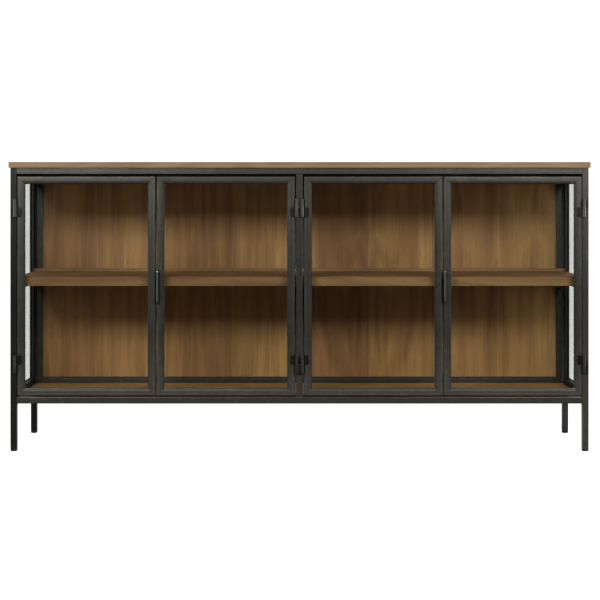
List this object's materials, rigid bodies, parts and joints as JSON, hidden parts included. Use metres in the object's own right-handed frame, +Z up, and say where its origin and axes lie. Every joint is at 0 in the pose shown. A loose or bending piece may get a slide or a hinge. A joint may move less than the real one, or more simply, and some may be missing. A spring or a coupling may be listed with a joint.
{
  "type": "sideboard buffet",
  "caption": "Long sideboard with a welded square-tube steel frame, glazed hinged doors, glass sides, a wood top, a wood shelf and a veneered back.",
  "frame": {"origin": "on the floor, at the centre of the plan box including the door pulls", "axes": "+Z up, +X along the length to the viewer's right when facing the doors, +Y from the doors to the back"},
  "size_m": [1.8, 0.415, 0.896],
  "materials": {
    "frame_steel": "dark gunmetal, burnished and waxed",
    "door_steel": "dark gunmetal, burnished and waxed",
    "hinge_steel": "blackened steel, worn at the edges",
    "pull_steel": "burnished steel",
    "pin_steel": "bright drawn steel",
    "fasteners": "zinc-plated steel",
    "glass": "clear",
    "top_wood": "satin oil, brown",
    "back_veneer": "satin veneer, vertical grain",
    "shelf_wood": "satin oil, brown",
    "floor_wood": "satin oil, brown",
    "glides": "black",
    "catch_plastic": "black"
  },
  "bodies": {
    "carcass": {"back_frame_left": "frame_steel", "back_frame_right": "frame_steel", "back_panel_left": "back_veneer", "back_panel_right": "back_veneer", "back_panel_screws": "fasteners", "bottom_rail_front": "frame_steel", "bottom_rail_left": "frame_steel", "bottom_rail_rear": "frame_steel", "bottom_rail_right": "frame_steel", "catch_screws": "fasteners", "floor_bearers": "frame_steel", "floor_panel": "floor_wood", "foot_glides": "glides", "hinge_pins": "pin_steel", "hinge_post_knuckles": "hinge_steel", "magnetic_catches": "catch_plastic", "post_front_centre": "frame_steel", "post_front_left": "frame_steel", "post_front_right": "frame_steel", "post_rear_centre": "frame_steel", "post_rear_left": "frame_steel", "post_rear_right": "frame_steel", "shelf_back_strips": "shelf_wood", "shelf_bearers": "frame_steel", "shelf_left": "shelf_wood", "shelf_right": "shelf_wood", "shelf_screws": "fasteners", "side_beads_left": "frame_steel", "side_beads_right": "frame_steel", "side_frame_left": "frame_steel", "side_frame_right": "frame_steel", "side_glass_left": "glass", "side_glass_right": "glass", "top_fixing_tabs": "frame_steel", "top_panel": "top_wood", "top_rail_front": "frame_steel", "top_rail_left": "frame_steel", "top_rail_rear": "frame_steel", "top_rail_right": "frame_steel", "top_screws": "fasteners"},
    "door_left_outer": {"door_left_outer_beads": "door_steel", "door_left_outer_frame": "door_steel", "door_left_outer_glass": "glass", "door_left_outer_knuckles": "hinge_steel"},
    "door_left_inner": {"door_left_inner_beads": "door_steel", "door_left_inner_frame": "door_steel", "door_left_inner_glass": "glass", "door_left_inner_knuckles": "hinge_steel", "door_left_inner_pull": "pull_steel"},
    "door_right_inner": {"door_right_inner_beads": "door_steel", "door_right_inner_frame": "door_steel", "door_right_inner_glass": "glass", "door_right_inner_knuckles": "hinge_steel"},
    "door_right_outer": {"door_right_outer_beads": "door_steel", "door_right_outer_frame": "door_steel", "door_right_outer_glass": "glass", "door_right_outer_knuckles": "hinge_steel", "door_right_outer_pull": "pull_steel"}
  },
  "joints": [
    {"name": "left_outer_hinge", "type": "hinge", "parent": "carcass", "child": "door_left_outer", "pos_m": [-0.88, -0.1929, 0.512], "axis": [0, 0, -1], "range_deg": [0, 170]},
    {"name": "left_inner_hinge", "type": "hinge", "parent": "carcass", "child": "door_left_inner", "pos_m": [-0.008, -0.1929, 0.512], "axis": [0, 0, 1], "range_deg": [0, 90]},
    {"name": "right_inner_hinge", "type": "hinge", "parent": "carcass", "child": "door_right_inner", "pos_m": [0.008, -0.1929, 0.512], "axis": [0, 0, -1], "range_deg": [0, 90]},
    {"name": "right_outer_hinge", "type": "hinge", "parent": "carcass", "child": "door_right_outer", "pos_m": [0.88, -0.1929, 0.512], "axis": [0, 0, 1], "range_deg": [0, 170]}
  ]
}
